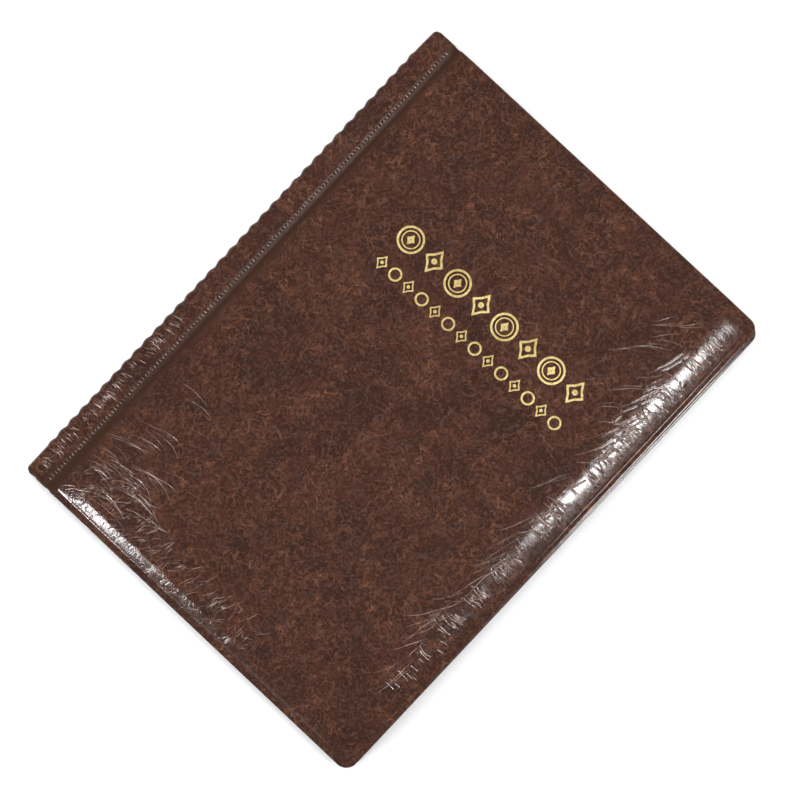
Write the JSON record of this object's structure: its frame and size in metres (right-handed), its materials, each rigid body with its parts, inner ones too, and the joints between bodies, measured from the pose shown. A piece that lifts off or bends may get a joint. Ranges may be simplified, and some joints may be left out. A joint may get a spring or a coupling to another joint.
{
  "type": "coin album",
  "caption": "Closed padded leatherette album with a scalloped spine, a knurled binding weld, hinged covers and clear pocket leaves for coins and notes.",
  "frame": {"origin": "middle of the closed album's footprint, on the surface it lies on", "axes": "+X from the spine to the fore edge, +Y from tail to head, +Z out of the front cover"},
  "size_m": [0.192, 0.26, 0.0135],
  "materials": {
    "leatherette": "glossy, marbled dark brown",
    "foil": "bright gold foil",
    "foam": "matte soft foam",
    "board": "matte grey board",
    "lining": "fine grain, satin",
    "guard_strip": "matte",
    "clear_film": "clear glossy film",
    "pocket_film": "clear glossy film"
  },
  "bodies": {
    "spine": {"spine_wrap": "leatherette", "binding_weld": "leatherette", "leaf_bound_edges": "clear_film", "spine_guards": "guard_strip", "front_hinge_skin": "leatherette", "back_hinge_skin": "leatherette", "leaf_01_margin": "clear_film", "leaf_02_margin": "clear_film", "leaf_03_margin": "clear_film", "leaf_04_margin": "clear_film", "leaf_05_margin": "clear_film", "leaf_06_margin": "clear_film", "leaf_07_margin": "clear_film", "leaf_08_margin": "clear_film", "leaf_09_margin": "clear_film", "leaf_10_margin": "clear_film"},
    "front_cover": {"front_cover_skin": "leatherette", "front_cover_foam": "foam", "front_cover_board": "board", "front_cover_lining": "lining", "front_cover_ornament": "foil"},
    "back_cover": {"back_cover_skin": "leatherette", "back_cover_foam": "foam", "back_cover_board": "board", "back_cover_lining": "lining"},
    "leaf_01": {"leaf_01_film": "clear_film", "leaf_01_pockets": "pocket_film"},
    "leaf_02": {"leaf_02_film": "clear_film", "leaf_02_pockets": "pocket_film"},
    "leaf_03": {"leaf_03_film": "clear_film", "leaf_03_pockets": "pocket_film"},
    "leaf_04": {"leaf_04_film": "clear_film", "leaf_04_pockets": "pocket_film"},
    "leaf_05": {"leaf_05_film": "clear_film", "leaf_05_pockets": "pocket_film"},
    "leaf_06": {"leaf_06_film": "clear_film", "leaf_06_pockets": "pocket_film"},
    "leaf_07": {"leaf_07_film": "clear_film", "leaf_07_pockets": "pocket_film"},
    "leaf_08": {"leaf_08_film": "clear_film", "leaf_08_pockets": "pocket_film"},
    "leaf_09": {"leaf_09_film": "clear_film", "leaf_09_pockets": "pocket_film"},
    "leaf_10": {"leaf_10_film": "clear_film", "leaf_10_pockets": "pocket_film"}
  },
  "joints": [
    {"name": "front_cover_open", "type": "hinge", "parent": "spine", "child": "front_cover", "pos_m": [-0.08225, 0, 0.0132], "axis": [0, -1, 0], "range_deg": [0, 180], "deforming": ["front_hinge_skin"]},
    {"name": "back_cover_open", "type": "hinge", "parent": "spine", "child": "back_cover", "pos_m": [-0.08225, 0, -0.0001], "axis": [0, 1, 0], "range_deg": [0, 180], "deforming": ["back_hinge_skin"]},
    {"name": "leaf_01_turn", "type": "hinge", "parent": "spine", "child": "leaf_01", "pos_m": [-0.0785, 0, 0.0099], "axis": [0, -1, 0], "range_deg": [0, 120], "deforming": ["leaf_01_margin"]},
    {"name": "leaf_02_turn", "type": "hinge", "parent": "spine", "child": "leaf_02", "pos_m": [-0.0777, 0, 0.0092], "axis": [0, -1, 0], "range_deg": [0, 108], "deforming": ["leaf_02_margin"]},
    {"name": "leaf_03_turn", "type": "hinge", "parent": "spine", "child": "leaf_03", "pos_m": [-0.0769, 0, 0.0085], "axis": [0, -1, 0], "range_deg": [0, 96], "deforming": ["leaf_03_margin"]},
    {"name": "leaf_04_turn", "type": "hinge", "parent": "spine", "child": "leaf_04", "pos_m": [-0.0761, 0, 0.0078], "axis": [0, -1, 0], "range_deg": [0, 84], "deforming": ["leaf_04_margin"]},
    {"name": "leaf_05_turn", "type": "hinge", "parent": "spine", "child": "leaf_05", "pos_m": [-0.0753, 0, 0.0071], "axis": [0, -1, 0], "range_deg": [0, 72], "deforming": ["leaf_05_margin"]},
    {"name": "leaf_06_turn", "type": "hinge", "parent": "spine", "child": "leaf_06", "pos_m": [-0.0745, 0, 0.0064], "axis": [0, -1, 0], "range_deg": [0, 60], "deforming": ["leaf_06_margin"]},
    {"name": "leaf_07_turn", "type": "hinge", "parent": "spine", "child": "leaf_07", "pos_m": [-0.0737, 0, 0.0057], "axis": [0, -1, 0], "range_deg": [0, 48], "deforming": ["leaf_07_margin"]},
    {"name": "leaf_08_turn", "type": "hinge", "parent": "spine", "child": "leaf_08", "pos_m": [-0.0729, 0, 0.005], "axis": [0, -1, 0], "range_deg": [0, 36], "deforming": ["leaf_08_margin"]},
    {"name": "leaf_09_turn", "type": "hinge", "parent": "spine", "child": "leaf_09", "pos_m": [-0.0721, 0, 0.0043], "axis": [0, -1, 0], "range_deg": [0, 24], "deforming": ["leaf_09_margin"]},
    {"name": "leaf_10_turn", "type": "hinge", "parent": "spine", "child": "leaf_10", "pos_m": [-0.0713, 0, 0.0036], "axis": [0, -1, 0], "range_deg": [0, 12], "deforming": ["leaf_10_margin"]}
  ],
  "couplings": [
    {"joint": "leaf_01_turn", "follows": "front_cover_open", "ratio": 0.66667},
    {"joint": "leaf_02_turn", "follows": "front_cover_open", "ratio": 0.6},
    {"joint": "leaf_03_turn", "follows": "front_cover_open", "ratio": 0.53333},
    {"joint": "leaf_04_turn", "follows": "front_cover_open", "ratio": 0.46667},
    {"joint": "leaf_05_turn", "follows": "front_cover_open", "ratio": 0.4},
    {"joint": "leaf_06_turn", "follows": "front_cover_open", "ratio": 0.33333},
    {"joint": "leaf_07_turn", "follows": "front_cover_open", "ratio": 0.26667},
    {"joint": "leaf_08_turn", "follows": "front_cover_open", "ratio": 0.2},
    {"joint": "leaf_09_turn", "follows": "front_cover_open", "ratio": 0.13333},
    {"joint": "leaf_10_turn", "follows": "front_cover_open", "ratio": 0.066667}
  ]
}
